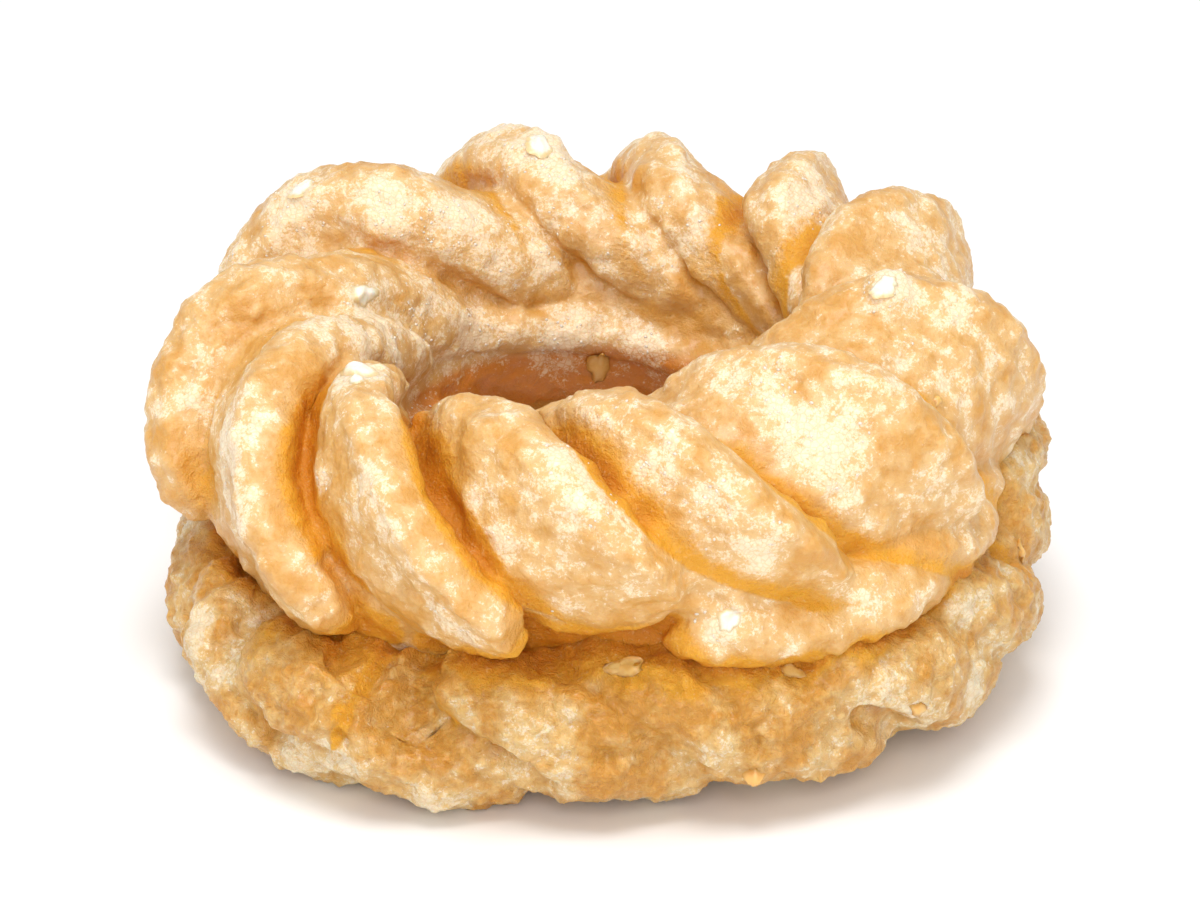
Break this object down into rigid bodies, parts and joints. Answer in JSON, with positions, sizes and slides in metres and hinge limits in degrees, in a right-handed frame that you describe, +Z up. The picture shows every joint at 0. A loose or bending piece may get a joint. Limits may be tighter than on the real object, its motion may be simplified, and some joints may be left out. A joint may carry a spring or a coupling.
{
  "type": "glazed cruller doughnut",
  "caption": "Ring of piped choux dough with deep slanted ridges over a lower base ring and a round hole through the middle, fried and sugar glazed.",
  "frame": {"origin": "middle of the footprint's bounding box, on the surface that the ring lies on", "axes": "+Z up along the ring's axis; -Y towards the front, where the smooth roll lies under the ridges' feet at the right; +X to the right"},
  "size_m": [0.0854, 0.0834, 0.0418],
  "materials": {
    "dough": "fried golden crust under a thin, cloudy, satin sugar glaze"
  },
  "bodies": {
    "root": {"cruller": "dough"}
  },
  "joints": []
}
